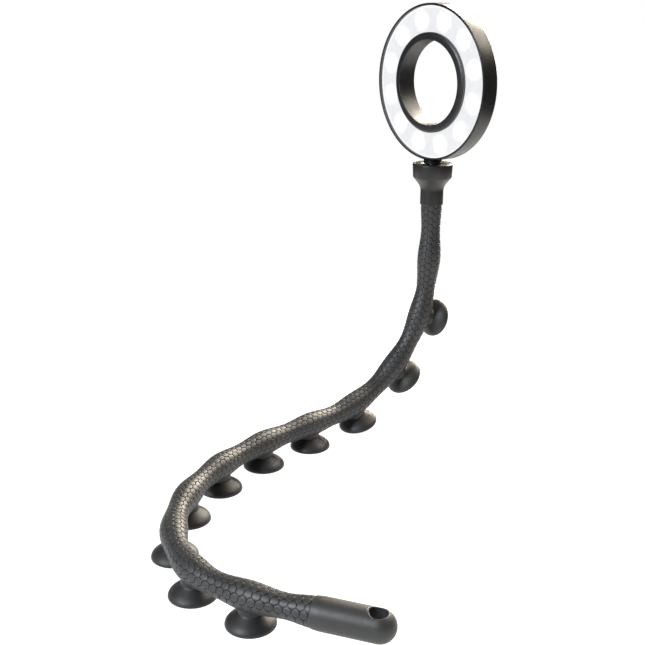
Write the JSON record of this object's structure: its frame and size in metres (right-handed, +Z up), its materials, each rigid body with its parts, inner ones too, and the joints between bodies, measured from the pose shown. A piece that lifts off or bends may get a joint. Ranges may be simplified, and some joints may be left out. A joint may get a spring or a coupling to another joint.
{
  "type": "ring light",
  "caption": "Small LED ring light on a bendable gooseneck arm with suction cups along its underside and a grip with a hanging hole.",
  "frame": {"origin": "middle of the object's footprint box, on the surface that the suction cups stand on", "axes": "+Z up; +Y from the handle towards the back of the arm's curve; the arm bulges towards -X"},
  "size_m": [0.1704, 0.2899, 0.2352],
  "materials": {
    "sleeve_silicone": "matte charcoal silicone with a raised honeycomb of scales",
    "cup_silicone": "smooth satin charcoal silicone",
    "grip_rubber": "smooth soft-touch charcoal rubber",
    "gooseneck_steel": "interlocked spring steel tube",
    "ferrule_aluminium": "crimped aluminium",
    "neck_plastic": "fine satin moulded charcoal",
    "housing_plastic": "fine satin moulded charcoal",
    "bezel_plastic": "dark satin",
    "cover_plastic": "fine matte moulded charcoal",
    "diffuser_acrylic": "frosted translucent white",
    "board_white": "white solder mask",
    "board_green": "green solder mask",
    "led_package": "clear lens over yellow phosphor",
    "battery_foil": "matte foil pouch",
    "connector_steel": "drawn steel shell",
    "button_rubber": "satin",
    "switch_plastic": "black moulded switch body",
    "fastener_steel": "black oxide",
    "stud_steel": "turned zinc-plated steel",
    "brass": "turned brass",
    "spring_steel": "wave washer"
  },
  "bodies": {
    "tail": {"tail_sleeve": "sleeve_silicone", "tail_core": "gooseneck_steel", "tail_ferrule": "ferrule_aluminium", "handle": "grip_rubber"},
    "section_1": {"sleeve_01": "sleeve_silicone", "core_01": "gooseneck_steel", "suction_cup_01": "cup_silicone"},
    "section_2": {"sleeve_02": "sleeve_silicone", "core_02": "gooseneck_steel", "suction_cup_02": "cup_silicone"},
    "section_3": {"sleeve_03": "sleeve_silicone", "core_03": "gooseneck_steel", "suction_cup_03": "cup_silicone"},
    "section_4": {"sleeve_04": "sleeve_silicone", "core_04": "gooseneck_steel", "suction_cup_04": "cup_silicone"},
    "section_5": {"sleeve_05": "sleeve_silicone", "core_05": "gooseneck_steel", "suction_cup_05": "cup_silicone"},
    "section_6": {"sleeve_06": "sleeve_silicone", "core_06": "gooseneck_steel", "suction_cup_06": "cup_silicone"},
    "section_7": {"sleeve_07": "sleeve_silicone", "core_07": "gooseneck_steel", "suction_cup_07": "cup_silicone"},
    "section_8": {"sleeve_08": "sleeve_silicone", "core_08": "gooseneck_steel", "suction_cup_08": "cup_silicone"},
    "section_9": {"sleeve_09": "sleeve_silicone", "core_09": "gooseneck_steel", "suction_cup_09": "cup_silicone"},
    "section_10": {"sleeve_10": "sleeve_silicone", "core_10": "gooseneck_steel", "suction_cup_10": "cup_silicone"},
    "section_11": {"sleeve_11": "sleeve_silicone", "core_11": "gooseneck_steel"},
    "neck": {"neck_sleeve": "sleeve_silicone", "neck_core": "gooseneck_steel", "neck_ferrule": "ferrule_aluminium", "neck_housing": "neck_plastic", "neck_cap": "neck_plastic", "neck_bushing": "brass", "friction_washer": "spring_steel"},
    "ring_head": {"swivel_stud": "stud_steel", "thread_insert": "brass", "mount_stem": "housing_plastic", "ring_housing": "housing_plastic", "inner_bezel": "bezel_plastic", "rear_cover": "cover_plastic", "diffuser": "diffuser_acrylic", "led_board": "board_white", "leds": "led_package", "battery": "battery_foil", "control_board": "board_green", "usb_socket": "connector_steel", "power_switch": "switch_plastic", "case_screws": "fastener_steel"},
    "button": {"power_button": "button_rubber", "switch_plunger": "switch_plastic"}
  },
  "joints": [
    {"name": "tail_lift", "type": "hinge", "parent": "section_1", "child": "tail", "pos_m": [-0.0204, -0.1241, 0.013], "axis": [-0.3453, -0.9385, 0], "range_deg": [-35, 35]},
    {"name": "section_1_swing", "type": "hinge", "parent": "section_2", "child": "section_1", "pos_m": [-0.05022, -0.10801, 0.013], "axis": [0, 0, -1], "range_deg": [-13, 35]},
    {"name": "section_2_lift", "type": "hinge", "parent": "section_3", "child": "section_2", "pos_m": [-0.0701, -0.08105, 0.013], "axis": [-0.9438, -0.3305, 0], "range_deg": [-35, 35]},
    {"name": "section_3_swing", "type": "hinge", "parent": "section_4", "child": "section_3", "pos_m": [-0.07439, -0.04757, 0.013], "axis": [0, 0, -1], "range_deg": [-17, 35]},
    {"name": "section_5_lift", "type": "hinge", "parent": "section_4", "child": "section_5", "pos_m": [-0.06614, -0.01474, 0.013], "axis": [0.9171, -0.3987, 0], "range_deg": [-35, 35]},
    {"name": "section_6_swing", "type": "hinge", "parent": "section_5", "child": "section_6", "pos_m": [-0.04878, 0.01439, 0.013], "axis": [0, 0, 1], "range_deg": [-26, 35]},
    {"name": "section_7_lift", "type": "hinge", "parent": "section_6", "child": "section_7", "pos_m": [-0.02568, 0.03928, 0.013], "axis": [0.6743, -0.7385, 0], "range_deg": [-35, 35]},
    {"name": "section_8_swing", "type": "hinge", "parent": "section_7", "child": "section_8", "pos_m": [-0.00068, 0.06232, 0.01315], "axis": [-0.0064, -0.0059, 1], "range_deg": [-35, 35]},
    {"name": "section_9_lift", "type": "hinge", "parent": "section_8", "child": "section_9", "pos_m": [0.02417, 0.08323, 0.02185], "axis": [0.6106, -0.7916, -0.0245], "range_deg": [-35, 9]},
    {"name": "section_10_swing", "type": "hinge", "parent": "section_9", "child": "section_10", "pos_m": [0.04417, 0.09713, 0.04507], "axis": [-0.6689, -0.5205, 0.5307], "range_deg": [-35, 35]},
    {"name": "section_11_lift", "type": "hinge", "parent": "section_10", "child": "section_11", "pos_m": [0.05395, 0.10367, 0.07671], "axis": [0.6076, -0.7942, 0.0126], "range_deg": [-35, 23]},
    {"name": "neck_swing", "type": "hinge", "parent": "section_11", "child": "neck", "pos_m": [0.0559, 0.106, 0.11055], "axis": [-0.7937, -0.6079, 0.0238], "range_deg": [-35, 35]},
    {"name": "ring_swivel", "type": "hinge", "parent": "neck", "child": "ring_head", "pos_m": [0.05601, 0.10735, 0.14843], "axis": [0.0028, 0.0355, 0.9994], "continuous": true},
    {"name": "power_press", "type": "slide", "parent": "ring_head", "child": "button", "axis": [-0.7937, -0.6079, 0.0238], "range_m": [0, 0.0004], "stiffness_N_per_m": 1500, "springref_m": -0.0005}
  ]
}
